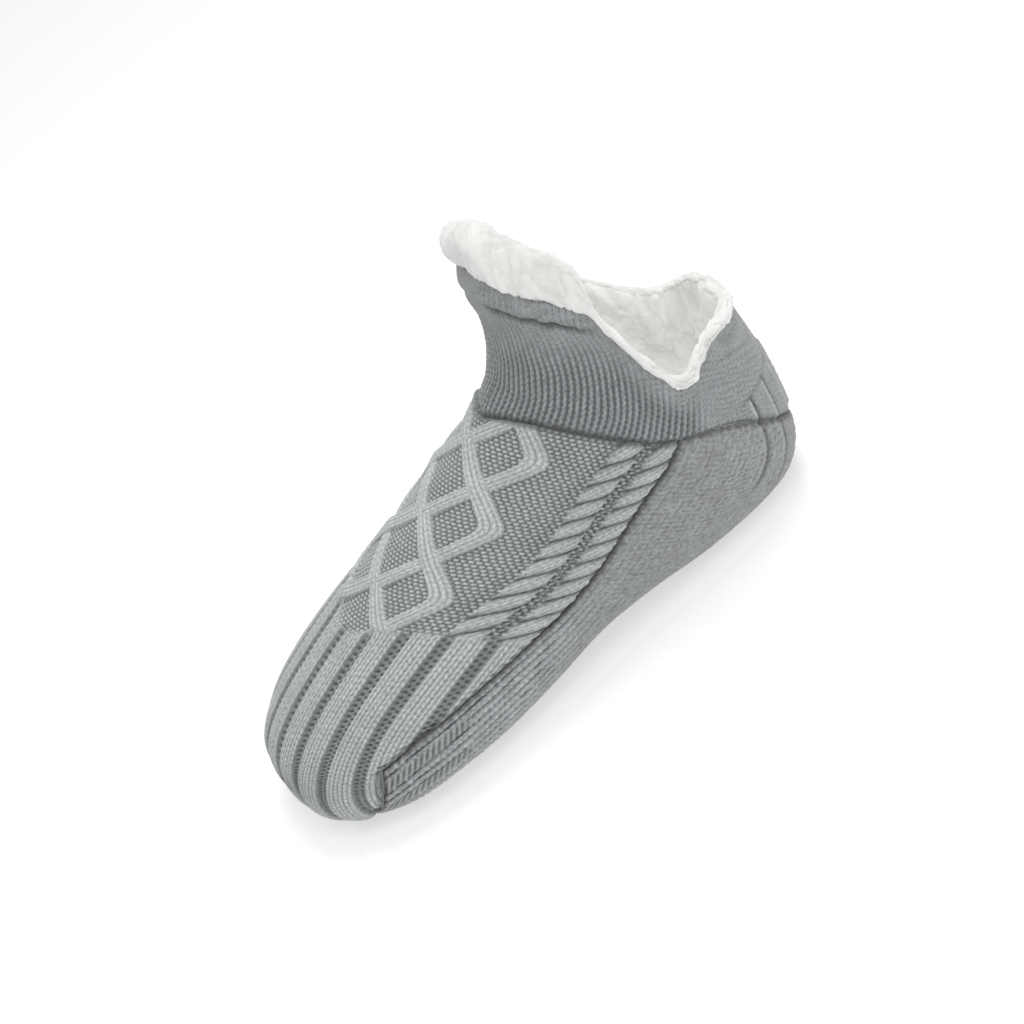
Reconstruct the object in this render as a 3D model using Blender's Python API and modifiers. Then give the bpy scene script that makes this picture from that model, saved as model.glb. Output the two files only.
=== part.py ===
"""A knitted slipper sock with a fleece lining, standing empty on its sole.

The toe points along +X, the floor is z = 0, and the sock is the same on its two sides.
One surface, skin_point, gives the outside of the sole and of the cuff as a bent tube of
half rings that turn from upright at the toe to tilted at the ankle. Every piece is a wall
laid along that surface, between two depths under it.
"""

import math

import bmesh
import bpy
import numpy as np

# The driving sizes, in metres.
FOOT_LENGTH = 0.2470
BALL_WIDTH = 0.1040
HEEL_WIDTH = 0.0850
ANKLE_WIDTH = 0.0820
INSTEP_HEIGHT = 0.1085
HEEL_SEAM_HEIGHT = 0.0240
CUFF_RISE = 0.0485
HEEL_TAB_RISE = 0.0670
KNIT_WALL = 0.0022
CABLE_RISE = 0.0010
FLEECE_WALL = 0.0045
ROLL_RADIUS = 0.0065
GAP = 0.0003

# Sections of the foot, from the toe's tip to the tilted ring where the cuff starts.
# top_x, bottom_x: shares of FOOT_LENGTH from the heel. top_z: share of INSTEP_HEIGHT.
# bottom_z: share of HEEL_SEAM_HEIGHT, and below 0 where the knit is pressed flat on the floor.
# of_ball, of_heel: the half width, in shares of BALL_WIDTH and of HEEL_WIDTH.
# widest: where the section is widest, from bottom to top. sole_round, top_round: 2 is an
# ellipse, and more is squarer. seam: the side seam's place round the half ring, from below.
FOOT_COLUMNS = ("top_x", "top_z", "bottom_x", "bottom_z", "of_ball", "of_heel",
                "widest", "sole_round", "top_round", "seam")
FOOT_SECTIONS = (
    (1.000, 0.184, 1.000, 0.833, 0.000, 0.000, 0.50, 2.0, 2.0, 0.300),
    (0.987, 0.280, 0.992, 0.450, 0.190, 0.000, 0.48, 2.1, 2.0, 0.340),
    (0.955, 0.358, 0.969, 0.180, 0.310, 0.000, 0.45, 2.2, 2.0, 0.440),
    (0.905, 0.429, 0.920, 0.030, 0.410, 0.000, 0.42, 2.4, 2.0, 0.540),
    (0.846, 0.493, 0.852, -0.055, 0.475, 0.000, 0.40, 2.5, 2.0, 0.565),
    (0.779, 0.558, 0.767, -0.060, 0.500, 0.000, 0.39, 2.5, 2.0, 0.555),
    (0.711, 0.622, 0.670, -0.060, 0.495, 0.000, 0.39, 2.5, 2.0, 0.540),
    (0.646, 0.682, 0.565, 0.012, 0.380, 0.120, 0.40, 2.4, 2.0, 0.515),
    (0.585, 0.742, 0.455, 0.117, 0.250, 0.253, 0.42, 2.3, 2.0, 0.485),
    (0.530, 0.802, 0.346, 0.058, 0.120, 0.392, 0.44, 2.3, 2.0, 0.495),
    (0.484, 0.853, 0.241, -0.060, 0.040, 0.468, 0.46, 2.4, 2.0, 0.525),
    (0.447, 0.894, 0.144, -0.060, 0.000, 0.506, 0.48, 2.4, 2.0, 0.545),
    (0.419, 0.931, 0.065, 0.050, 0.000, 0.500, 0.49, 2.3, 2.0, 0.550),
    (0.399, 0.963, 0.017, 0.396, 0.000, 0.494, 0.50, 2.2, 2.0, 0.545),
    (0.381, 1.000, 0.000, 1.000, 0.000, 0.487, 0.50, 2.2, 2.1, 0.530),
)

# Rings of the ankle above that ring, the last one above the fleece's roll.
# front_x, back_x: shares of FOOT_LENGTH from the heel. front_rise, back_rise: shares of
# CUFF_RISE over the instep and of HEEL_TAB_RISE over the heel's seam. half_width: share
# of ANKLE_WIDTH.
ANKLE_COLUMNS = ("front_x", "front_rise", "back_x", "back_rise", "half_width")
ANKLE_SECTIONS = (
    (0.362, 0.22, -0.004, 0.240, 0.490),
    (0.351, 0.46, -0.002, 0.488, 0.490),
    (0.350, 0.73, 0.006, 0.744, 0.505),
    (0.321, 1.00, 0.018, 1.000, 0.520),
    (0.285, 1.23, 0.028, 1.223, 0.520),
)
BASE_RING = float(len(FOOT_SECTIONS) - 1)
TOP_RING = BASE_RING + len(ANKLE_SECTIONS) - 1.0

# The cuff and the fleece's roll round the ankle, from the back to the front. round: the
# place on the half ring. base: how many sections the cuff reaches down over the foot. edge:
# how far up the ankle the knit reaches. roll: how thick the fleece's roll is there, as a
# share of ROLL_RADIUS. rise: how much taller the roll is than a round one.
COLLAR_COLUMNS = ("round", "base", "edge", "roll", "rise")
COLLAR = (
    (0.00, 0.00, 0.90, 0.36, 1.00),
    (0.10, 0.00, 0.88, 0.36, 1.00),
    (0.20, 0.00, 0.84, 0.36, 1.00),
    (0.29, 0.00, 0.74, 0.36, 1.00),
    (0.37, 0.02, 0.60, 0.36, 1.00),
    (0.43, 0.20, 0.44, 0.38, 1.00),
    (0.48, 0.46, 0.29, 0.42, 1.00),
    (0.52, 0.72, 0.24, 0.48, 1.00),
    (0.56, 0.98, 0.36, 0.54, 1.10),
    (0.60, 1.14, 0.52, 0.60, 1.25),
    (0.65, 1.26, 0.70, 0.68, 1.45),
    (0.72, 1.38, 0.84, 0.76, 1.50),
    (0.84, 1.68, 0.86, 0.88, 1.45),
    (1.00, 2.55, 0.90, 1.00, 1.35),
)

# The roll's outline over the knit's edge, in shares of its radius: out from the knit's
# outside, and up from its edge.
ROLL_COLUMNS = ("out", "up")
ROLL_OUTLINE = (
    (0.55, 0.10),
    (0.88, 0.50),
    (0.92, 1.00),
    (0.62, 1.55),
    (0.05, 1.88),
    (-0.60, 1.80),
)

# How many facets the pieces have along and round them, and how many steps a half ring has.
TOE_ROWS = 5
FOOT_ROWS = 21
CUFF_ROWS = 8
SOLE_COLUMNS = 7
TOP_COLUMNS = 10
RING_STEPS = 96

# How far apart two places are, in sections and in shares of a ring, when the skin's slope
# is read between them.
SLOPE_STEP = 0.02

# The sole panel's front edge, in sections from the toe's tip: at the middle and at its
# corners.
SOLE_FRONT = 2.5
SOLE_CORNER = 3.5


def cubic(table, place):
    """The rows of the table read at a place between them, by a Catmull-Rom curve."""
    last = len(table) - 1
    low = np.clip(np.floor(place).astype(int), 0, last - 1)
    t = (place - low)[..., None]
    before = table[np.maximum(low - 1, 0)]
    start = table[low]
    end = table[low + 1]
    after = table[np.minimum(low + 2, last)]
    # The end rows go on in a straight line.
    before = np.where((low == 0)[..., None], 2.0 * start - end, before)
    after = np.where((low == last - 1)[..., None], 2.0 * end - start, after)
    slope_start = 0.5 * (end - before)
    slope_end = 0.5 * (after - start)
    return ((2 * t**3 - 3 * t**2 + 1) * start + (t**3 - 2 * t**2 + t) * slope_start
            + (3 * t**2 - 2 * t**3) * end + (t**3 - t**2) * slope_end)


def section_table():
    """Every section in metres: top x, z, bottom x, z, half width, and its shape."""
    rows = []
    for values in FOOT_SECTIONS:
        row = dict(zip(FOOT_COLUMNS, values))
        rows.append((
            (row["top_x"] - 0.5) * FOOT_LENGTH,
            row["top_z"] * INSTEP_HEIGHT,
            (row["bottom_x"] - 0.5) * FOOT_LENGTH,
            row["bottom_z"] * HEEL_SEAM_HEIGHT,
            row["of_ball"] * BALL_WIDTH + row["of_heel"] * HEEL_WIDTH,
            row["widest"], row["sole_round"], row["top_round"], row["seam"],
        ))
    shape = rows[-1][5:]
    for values in ANKLE_SECTIONS:
        row = dict(zip(ANKLE_COLUMNS, values))
        rows.append((
            (row["front_x"] - 0.5) * FOOT_LENGTH,
            INSTEP_HEIGHT + row["front_rise"] * CUFF_RISE,
            (row["back_x"] - 0.5) * FOOT_LENGTH,
            HEEL_SEAM_HEIGHT + row["back_rise"] * HEEL_TAB_RISE,
            row["half_width"] * ANKLE_WIDTH, *shape,
        ))
    return np.array(rows)


SECTIONS = section_table()
COLLAR_ROWS = np.array(COLLAR)


def seam_place(station):
    """Where the side seam runs round the half ring."""
    return cubic(SECTIONS, np.asarray(station, float))[..., 8]


def collar_value(round_place, column):
    """A column of the collar's table, in sections for the edges and metres for the roll."""
    at = np.interp(round_place, COLLAR_ROWS[:, 0], np.arange(len(COLLAR_ROWS)))
    share = cubic(COLLAR_ROWS, at)[..., COLLAR_COLUMNS.index(column)]
    if column == "base":
        return BASE_RING - np.maximum(share, 0.0)
    if column == "edge":
        return BASE_RING + share * (TOP_RING - BASE_RING)
    if column == "roll":
        return share * ROLL_RADIUS
    return share


def half_ring(station):
    """One half ring as points, with each point's share of the length round it."""
    top_x, top_z, low_x, low_z, half, widest, sole_round, top_round, _ = cubic(
        SECTIONS, np.array(float(station)))
    turn = np.linspace(0.0, math.pi, RING_STEPS + 1)
    below = turn <= math.pi / 2
    power = np.where(below, 2.0 / sole_round, 2.0 / top_round)
    across = np.sin(turn).clip(0.0) ** power
    along = np.abs(np.cos(turn)) ** power
    height = np.where(below, widest * (1.0 - along), widest + (1.0 - widest) * along)
    ring = np.stack([
        low_x + height * (top_x - low_x),
        max(half, 0.0) * across,
        np.maximum(low_z + height * (top_z - low_z), 0.0),
    ], axis=-1)
    length = np.concatenate([[0.0], np.cumsum(np.linalg.norm(np.diff(ring, axis=0), axis=1))])
    return ring, length / max(length[-1], 1e-9)


def skin_point(station, round_place):
    """Points of the skin: station runs from the toe's tip, round_place from sole to top."""
    station = np.asarray(station, float)
    round_place = np.asarray(round_place, float)
    points = np.zeros(station.shape + (3,))
    for value in np.unique(station):
        ring, share = half_ring(value)
        here = station == value
        for axis in range(3):
            points[here, axis] = np.interp(round_place[here], share, ring[:, axis])
    return points


def unit(vectors):
    return vectors / np.maximum(np.linalg.norm(vectors, axis=-1, keepdims=True), 1e-12)


def skin_frame(station, round_place):
    """The skin's points, its normals outwards and its direction along the sock."""
    station = np.asarray(station, float)
    places = np.asarray(round_place, float)
    ahead = skin_point(station + SLOPE_STEP, places)
    behind = skin_point(np.maximum(station - SLOPE_STEP, 0.0), places)
    above = skin_point(station, np.minimum(places + SLOPE_STEP, 1.0))
    below = skin_point(station, np.maximum(places - SLOPE_STEP, 0.0))
    along = unit(ahead - behind)
    around = above - below
    middle = (places <= 1e-6) | (places >= 1.0 - 1e-6)
    around[middle] = (0.0, 1.0, 0.0)
    around[middle & (places >= 0.5)] = (0.0, -1.0, 0.0)
    along[middle, 1] = 0.0
    normal = unit(np.cross(along, around))
    point = skin_point(station, places)
    tip = station <= 1e-6
    if tip.any():
        normal[tip] = (1.0, 0.0, 0.0)
        point[tip] = point[tip].mean(axis=0)
    return point, normal, along


def moved(station, round_place, along=0.0, around=0.0):
    """The same places, moved by lengths in metres along the sock and round it."""
    here = skin_point(station, round_place)
    ahead = skin_point(station + SLOPE_STEP, round_place)
    run = np.linalg.norm(ahead - here, axis=-1) / SLOPE_STEP
    up = np.minimum(round_place + SLOPE_STEP, 1.0)
    turn = np.linalg.norm(skin_point(station, up) - here, axis=-1) / np.maximum(
        up - round_place, 1e-9)
    return (station + along / np.maximum(run, 1e-6),
            round_place + around / np.maximum(turn, 1e-6))


def column_shares():
    """The columns of facets: from the sole's middle to the seam, then to the top."""
    sole = [(k / SOLE_COLUMNS, 0.0) for k in range(SOLE_COLUMNS)]
    top = [(1.0, k / TOP_COLUMNS) for k in range(TOP_COLUMNS + 1)]
    return np.array(sole + top)


def grid():
    """Stations and places of the whole sock's grid, from the toe's tip to the collar."""
    shares = column_shares()
    corner = np.minimum(shares[:, 0], 1.0)
    front = SOLE_FRONT + (SOLE_CORNER - SOLE_FRONT) * corner**2
    base_seam = seam_place(BASE_RING)
    places = shares[:, 0] * base_seam + shares[:, 1] * (1.0 - base_seam)
    base = collar_value(places, "base")
    edge = collar_value(places, "edge")
    rows = [front * (k / TOE_ROWS) ** 0.8 for k in range(TOE_ROWS)]
    rows += [front + (base - front) * k / FOOT_ROWS for k in range(FOOT_ROWS)]
    foot = np.array(rows)
    seam = seam_place(foot)
    foot_places = shares[:, 0] * seam + shares[:, 1] * (1.0 - seam)
    ankle = np.array([base + (edge - base) * k / CUFF_ROWS for k in range(CUFF_ROWS + 1)])
    ankle_places = np.repeat(places[None, :], len(ankle), axis=0)
    return np.vstack([foot, ankle]), np.vstack([foot_places, ankle_places])


SOLE_END = TOE_ROWS
CUFF_START = TOE_ROWS + FOOT_ROWS
SEAM_COLUMN = SOLE_COLUMNS


def shell_mesh(outer, inner, cells, free_side=False):
    """A wall between two grids of points, over the cells that are set.

    Column 0 lies in the plane of symmetry and stays open there, and so does the last one
    unless it is a free side. A row that shrinks to one point is that point.
    """
    mesh = bmesh.new()
    made = {}

    def vertex(layer, row, column):
        point = (outer, inner)[layer][row, column]
        key = (layer, *np.round(point, 8))
        if key not in made:
            made[key] = mesh.verts.new(point)
        return made[key]

    def face(*corners):
        ring = list(dict.fromkeys(vertex(*corner) for corner in corners))
        if len(ring) > 2:
            mesh.faces.new(ring)

    rows, columns = cells.shape
    last = columns - 1
    for i in range(rows):
        for j in range(columns):
            if not cells[i, j]:
                continue
            face((0, i, j), (0, i + 1, j), (0, i + 1, j + 1), (0, i, j + 1))
            face((1, i, j), (1, i, j + 1), (1, i + 1, j + 1), (1, i + 1, j))
            if i == 0 or not cells[i - 1, j]:
                face((0, i, j), (0, i, j + 1), (1, i, j + 1), (1, i, j))
            if i == rows - 1 or not cells[i + 1, j]:
                face((0, i + 1, j + 1), (0, i + 1, j), (1, i + 1, j), (1, i + 1, j + 1))
            if j > 0 and not cells[i, j - 1]:
                face((0, i + 1, j), (0, i, j), (1, i, j), (1, i + 1, j))
            if (free_side if j == last else not cells[i, j + 1]):
                face((0, i, j + 1), (0, i + 1, j + 1), (1, i + 1, j + 1), (1, i, j + 1))
    return mesh


def layers(station, place, lift, depth, middle=(0, -1)):
    """The wall's two grids of points, lift over the skin and depth under it.

    The middle columns are put in the plane of symmetry.
    """
    point, normal, _ = skin_frame(station, place)
    outer = point + normal * lift
    inner = point - normal * depth
    for layer in (outer, inner):
        layer[:, middle, 1] = 0.0
    return outer, inner


def knit_material(name, colour, roughness):
    material = bpy.data.materials.new(name)
    material.use_nodes = True
    shader = material.node_tree.nodes["Principled BSDF"]
    shader.inputs["Base Color"].default_value = (*colour, 1.0)
    shader.inputs["Metallic"].default_value = 0.0
    shader.inputs["Roughness"].default_value = roughness
    material.diffuse_color = (*colour, 1.0)
    return material


def add_piece(name, mesh, collection, material):
    """The half mesh as an object, made whole by a mirror across the middle plane."""
    data = bpy.data.meshes.new(name)
    mesh.to_mesh(data)
    mesh.free()
    data.shade_smooth()
    data.set_sharp_from_angle(angle=math.radians(40.0))
    data.materials.append(material)
    piece = bpy.data.objects.new(name, data)
    collection.objects.link(piece)
    mirror = piece.modifiers.new("both sides", "MIRROR")
    mirror.use_axis = (False, True, False)
    mirror.merge_threshold = 0.00001
    return piece


def make_cable_upper(collection, station, place):
    """The cable-knit instep and toe, open underneath where the sole panel closes it."""
    station = station[:CUFF_START + 1].copy()
    place = place[:CUFF_START + 1].copy()
    seam_rows = slice(SOLE_END, CUFF_START + 1)
    _, place[seam_rows, SEAM_COLUMN] = moved(
        station[seam_rows, SEAM_COLUMN], place[seam_rows, SEAM_COLUMN], around=GAP / 2)
    station[SOLE_END, :SEAM_COLUMN + 1], _ = moved(
        station[SOLE_END, :SEAM_COLUMN + 1], place[SOLE_END, :SEAM_COLUMN + 1], along=-GAP / 2)
    station[CUFF_START], _ = moved(station[CUFF_START], place[CUFF_START], along=-GAP / 2)
    cells = np.ones((CUFF_START, place.shape[1] - 1), bool)
    cells[SOLE_END:, :SEAM_COLUMN] = False
    outer, inner = layers(station, place, CABLE_RISE, KNIT_WALL)
    add_piece("cable_upper", shell_mesh(outer, inner, cells), collection,
              knit_material("cable knit", (0.40, 0.41, 0.42), 0.95))


def make_knit_sole(collection, station, place):
    """The sole panel, with the heel's pocket up to the seam behind the ankle."""
    station = station[SOLE_END:CUFF_START + 1, :SEAM_COLUMN + 1].copy()
    place = place[SOLE_END:CUFF_START + 1, :SEAM_COLUMN + 1].copy()
    _, place[:, -1] = moved(station[:, -1], place[:, -1], around=-GAP / 2)
    station[0], _ = moved(station[0], place[0], along=GAP / 2)
    station[-1], _ = moved(station[-1], place[-1], along=-GAP / 2)
    cells = np.ones((FOOT_ROWS, SEAM_COLUMN), bool)
    outer, inner = layers(station, place, 0.0, KNIT_WALL, middle=(0,))
    add_piece("knit_sole", shell_mesh(outer, inner, cells, free_side=True), collection,
              knit_material("plain knit", (0.29, 0.30, 0.32), 0.97))


def make_ankle_cuff(collection, station, place):
    """The ribbed cuff and the heel's back, one ring of knit with a notch on each side."""
    station = station[CUFF_START:].copy()
    place = place[CUFF_START:].copy()
    station[0], _ = moved(station[0], place[0], along=GAP / 2)
    cells = np.ones((CUFF_ROWS, place.shape[1] - 1), bool)
    outer, inner = layers(station, place, 0.0, KNIT_WALL)
    add_piece("ankle_cuff", shell_mesh(outer, inner, cells), collection,
              knit_material("rib knit", (0.27, 0.28, 0.30), 0.97))


def make_fleece_lining(collection, station, place):
    """The lining: a cup from the toe to the collar, where it rolls out over the knit."""
    point, normal, along = skin_frame(station, place)
    outer = point - normal * (KNIT_WALL + GAP)
    inner = point - normal * (KNIT_WALL + GAP + FLEECE_WALL)
    edge_point, edge_normal, edge_along = point[-1], normal[-1], along[-1]
    radius = collar_value(place[-1], "roll")[:, None]
    rise = collar_value(place[-1], "rise")[:, None]
    seat = edge_along * (2.0 * GAP)
    profile = [edge_point - edge_normal * (KNIT_WALL + GAP) + seat]
    for values in ROLL_OUTLINE:
        row = dict(zip(ROLL_COLUMNS, values))
        profile.append(edge_point + seat + edge_normal * radius * row["out"]
                       + edge_along * radius * rise * row["up"])
    rows = np.concatenate([outer[:-1], np.array(profile), inner[::-1]])
    rows[:, [0, -1], 1] = 0.0
    mesh = bmesh.new()
    made = {}

    def vertex(i, j):
        key = tuple(np.round(rows[i, j], 8))
        if key not in made:
            made[key] = mesh.verts.new(rows[i, j])
        return made[key]

    for i in range(len(rows) - 1):
        for j in range(rows.shape[1] - 1):
            corners = (vertex(i, j), vertex(i + 1, j), vertex(i + 1, j + 1), vertex(i, j + 1))
            ring = list(dict.fromkeys(corners))
            if len(ring) > 2:
                mesh.faces.new(ring)
    add_piece("fleece_lining", mesh, collection,
              knit_material("fleece", (0.86, 0.86, 0.84), 1.0))


def main():
    for old in list(bpy.data.objects):
        bpy.data.objects.remove(old, do_unlink=True)
    collection = bpy.data.collections.new("slipper_sock")
    bpy.context.scene.collection.children.link(collection)
    station, place = grid()
    make_cable_upper(collection, station, place)
    make_knit_sole(collection, station, place)
    make_ankle_cuff(collection, station, place)
    make_fleece_lining(collection, station, place)


main()
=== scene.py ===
"""The look of the slipper sock: knitted panels, cables, ribs, seams and fleece.

The toe points along +X, and the side seen in the photo is +Y. Every knitted piece is a
sheet laid on the sock's skin, with its stitches raised from charts in millimetres: w is
the distance round the sock from the middle of its top, and c the distance along it, towards
the toe, from the tilted ring where the foot ends and the ankle starts.
"""

import math

import bpy
import numpy as np
from mathutils import Matrix, Vector


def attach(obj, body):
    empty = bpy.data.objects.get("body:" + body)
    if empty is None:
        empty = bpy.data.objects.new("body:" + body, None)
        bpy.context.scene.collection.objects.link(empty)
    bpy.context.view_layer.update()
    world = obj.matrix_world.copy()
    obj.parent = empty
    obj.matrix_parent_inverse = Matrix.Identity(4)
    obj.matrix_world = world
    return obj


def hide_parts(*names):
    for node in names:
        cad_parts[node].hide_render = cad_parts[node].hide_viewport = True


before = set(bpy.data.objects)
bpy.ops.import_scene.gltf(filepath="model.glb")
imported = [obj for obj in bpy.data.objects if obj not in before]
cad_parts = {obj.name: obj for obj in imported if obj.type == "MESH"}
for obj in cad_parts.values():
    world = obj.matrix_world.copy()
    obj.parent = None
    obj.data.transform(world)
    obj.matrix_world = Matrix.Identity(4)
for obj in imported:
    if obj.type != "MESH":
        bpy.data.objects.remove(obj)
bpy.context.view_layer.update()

MM = 0.001

# The far side of the sock is the near one mirrored, at -Y.
FAR = -1.0
NEAR = 1.0

# The sock's own sizes, in metres, as the solids have them.
FOOT_LENGTH = 0.2470
BALL_WIDTH = 0.1040
HEEL_WIDTH = 0.0850
ANKLE_WIDTH = 0.0820
INSTEP_HEIGHT = 0.1085
HEEL_SEAM_HEIGHT = 0.0240
CUFF_RISE = 0.0485
HEEL_TAB_RISE = 0.0670
ROLL_RADIUS = 0.0065

# Sections of the foot, from the toe's tip to the tilted ring where the ankle starts, in
# the same shares as the solids: places along the foot and heights, half widths, shape, and
# the side seam's place round the half ring.
FOOT_COLUMNS = ("top_x", "top_z", "bottom_x", "bottom_z", "of_ball", "of_heel",
                "widest", "sole_round", "top_round", "seam")
FOOT_SECTIONS = (
    (1.000, 0.184, 1.000, 0.833, 0.000, 0.000, 0.50, 2.0, 2.0, 0.300),
    (0.987, 0.280, 0.992, 0.450, 0.190, 0.000, 0.48, 2.1, 2.0, 0.340),
    (0.955, 0.358, 0.969, 0.180, 0.310, 0.000, 0.45, 2.2, 2.0, 0.440),
    (0.905, 0.429, 0.920, 0.030, 0.410, 0.000, 0.42, 2.4, 2.0, 0.540),
    (0.846, 0.493, 0.852, -0.055, 0.475, 0.000, 0.40, 2.5, 2.0, 0.565),
    (0.779, 0.558, 0.767, -0.060, 0.500, 0.000, 0.39, 2.5, 2.0, 0.555),
    (0.711, 0.622, 0.670, -0.060, 0.495, 0.000, 0.39, 2.5, 2.0, 0.540),
    (0.646, 0.682, 0.565, 0.012, 0.380, 0.120, 0.40, 2.4, 2.0, 0.515),
    (0.585, 0.742, 0.455, 0.117, 0.250, 0.253, 0.42, 2.3, 2.0, 0.485),
    (0.530, 0.802, 0.346, 0.058, 0.120, 0.392, 0.44, 2.3, 2.0, 0.495),
    (0.484, 0.853, 0.241, -0.060, 0.040, 0.468, 0.46, 2.4, 2.0, 0.525),
    (0.447, 0.894, 0.144, -0.060, 0.000, 0.506, 0.48, 2.4, 2.0, 0.545),
    (0.419, 0.931, 0.065, 0.050, 0.000, 0.500, 0.49, 2.3, 2.0, 0.550),
    (0.399, 0.963, 0.017, 0.396, 0.000, 0.494, 0.50, 2.2, 2.0, 0.545),
    (0.381, 1.000, 0.000, 1.000, 0.000, 0.487, 0.50, 2.2, 2.1, 0.530),
)
ANKLE_COLUMNS = ("front_x", "front_rise", "back_x", "back_rise", "half_width")
ANKLE_SECTIONS = (
    (0.362, 0.22, -0.004, 0.240, 0.490),
    (0.351, 0.46, -0.002, 0.488, 0.490),
    (0.350, 0.73, 0.006, 0.744, 0.505),
    (0.321, 1.00, 0.018, 1.000, 0.520),
    (0.285, 1.23, 0.028, 1.223, 0.520),
)
BASE_RING = float(len(FOOT_SECTIONS) - 1)
TOP_RING = BASE_RING + len(ANKLE_SECTIONS) - 1.0

# The cuff and the fleece's roll round the ankle, from the back to the front: the place on
# the half ring, how many sections the cuff reaches down over the foot, how far up the
# ankle the knit reaches, and the roll's thickness as a share of ROLL_RADIUS.
COLLAR_COLUMNS = ("round", "base", "edge", "roll")
COLLAR = (
    (0.00, 0.00, 0.90, 0.36),
    (0.10, 0.00, 0.88, 0.36),
    (0.20, 0.00, 0.84, 0.36),
    (0.29, 0.00, 0.74, 0.36),
    (0.37, 0.02, 0.60, 0.36),
    (0.43, 0.20, 0.44, 0.38),
    (0.48, 0.46, 0.29, 0.42),
    (0.52, 0.72, 0.24, 0.48),
    (0.56, 0.98, 0.36, 0.54),
    (0.60, 1.14, 0.52, 0.60),
    (0.65, 1.26, 0.70, 0.68),
    (0.72, 1.38, 0.84, 0.76),
    (0.84, 1.68, 0.86, 0.88),
    (1.00, 2.55, 0.90, 1.00),
)

# Waves in the knit's top edge: the place on the half ring, the width there, and the rise in
# sections. The far side has more of them, so its notch is fuller than the near one's.
EDGE_WAVES = ((0.66, 0.040, 0.45), (0.59, 0.025, -0.25))
FAR_EDGE_WAVES = ((0.50, 0.090, 1.3), (0.24, 0.12, -0.85))

# The sole panel's front edge, in sections from the toe's tip: in the middle and at the
# side seams.
SOLE_FRONT = 2.5
SOLE_CORNER = 3.5

# The section where the instep's sheet meets the toe's, and how many sections the toe's
# runs on under the instep's and the instep's under the cuff.
RIB_START = 5.0
TOE_LAP = 0.012
CUFF_TUCK = 0.12

# The skin is read from a map this fine.
MAP_PER_SECTION = 24
MAP_PLACES = 241
RING_STEPS = 240

# What the skin's map holds at each place: the point, the normal, w, c, and the way along.
POINT = slice(0, 3)
NORMAL = slice(3, 6)
ROUND = 6
ALONG = 7
WAY = slice(8, 11)


# The skin


def steps(count):
    """Even shares from 0 to 1."""
    return np.linspace(0.0, 1.0, count)


def peak(offset, width):
    """A smooth hump, 1 where the offset is 0."""
    return np.exp(-(offset / width) ** 2)


def unit(vectors, least=1e-9):
    """The vectors brought to length 1, unless they are shorter than the least."""
    return vectors / np.maximum(np.linalg.norm(vectors, axis=-1, keepdims=True), least)


def cubic(table, place):
    """The rows of the table read at a place between them, by a Catmull-Rom curve."""
    last = len(table) - 1
    low = np.clip(np.floor(place).astype(int), 0, last - 1)
    t = (place - low)[..., None]
    before = table[np.maximum(low - 1, 0)]
    start = table[low]
    end = table[low + 1]
    after = table[np.minimum(low + 2, last)]
    # Past its end rows the curve goes on in a straight line.
    before = np.where((low == 0)[..., None], 2.0 * start - end, before)
    after = np.where((low == last - 1)[..., None], 2.0 * end - start, after)
    slope_start = 0.5 * (end - before)
    slope_end = 0.5 * (after - start)
    return ((2 * t**3 - 3 * t**2 + 1) * start + (t**3 - 2 * t**2 + t) * slope_start
            + (3 * t**2 - 2 * t**3) * end + (t**3 - t**2) * slope_end)


def section_table():
    """Every section in metres: top x, z, bottom x, z, half width, and its shape."""
    rows = []
    for values in FOOT_SECTIONS:
        row = dict(zip(FOOT_COLUMNS, values))
        rows.append((
            (row["top_x"] - 0.5) * FOOT_LENGTH,
            row["top_z"] * INSTEP_HEIGHT,
            (row["bottom_x"] - 0.5) * FOOT_LENGTH,
            row["bottom_z"] * HEEL_SEAM_HEIGHT,
            row["of_ball"] * BALL_WIDTH + row["of_heel"] * HEEL_WIDTH,
            row["widest"], row["sole_round"], row["top_round"], row["seam"],
        ))
    # The ankle keeps the shape of the foot's last section.
    shape = rows[-1][5:]
    for values in ANKLE_SECTIONS:
        row = dict(zip(ANKLE_COLUMNS, values))
        rows.append((
            (row["front_x"] - 0.5) * FOOT_LENGTH,
            INSTEP_HEIGHT + row["front_rise"] * CUFF_RISE,
            (row["back_x"] - 0.5) * FOOT_LENGTH,
            HEEL_SEAM_HEIGHT + row["back_rise"] * HEEL_TAB_RISE,
            row["half_width"] * ANKLE_WIDTH, *shape,
        ))
    return np.array(rows)


SECTIONS = section_table()
COLLAR_ROWS = np.array(COLLAR)


def seam_place(station):
    """Where the side seam runs round the half ring: a section's last value."""
    return cubic(SECTIONS, np.asarray(station, float))[..., -1]


def collar_value(round_place, column):
    """A column of the collar's table, in sections for the edges and metres for the roll."""
    at = np.interp(round_place, COLLAR_ROWS[:, 0], np.arange(len(COLLAR_ROWS)))
    share = cubic(COLLAR_ROWS, at)[..., COLLAR_COLUMNS.index(column)]
    if column == "base":
        return BASE_RING - np.maximum(share, 0.0)
    if column == "edge":
        return BASE_RING + share * (TOP_RING - BASE_RING)
    return share * ROLL_RADIUS


def collar_edge(places, sign):
    """The knit's top edge, in sections."""
    edge = collar_value(places, "edge")
    waves = EDGE_WAVES + FAR_EDGE_WAVES if sign == FAR else EDGE_WAVES
    for middle, width, rise in waves:
        edge = edge + rise * peak(places - middle, width)
    return edge


def sole_front(columns):
    """The sole panel's front edge, in sections, at columns from the side seam to the middle."""
    corner = np.clip(2.0 - columns, 0.0, 1.0)
    return SOLE_FRONT + (SOLE_CORNER - SOLE_FRONT) * corner**2


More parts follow.
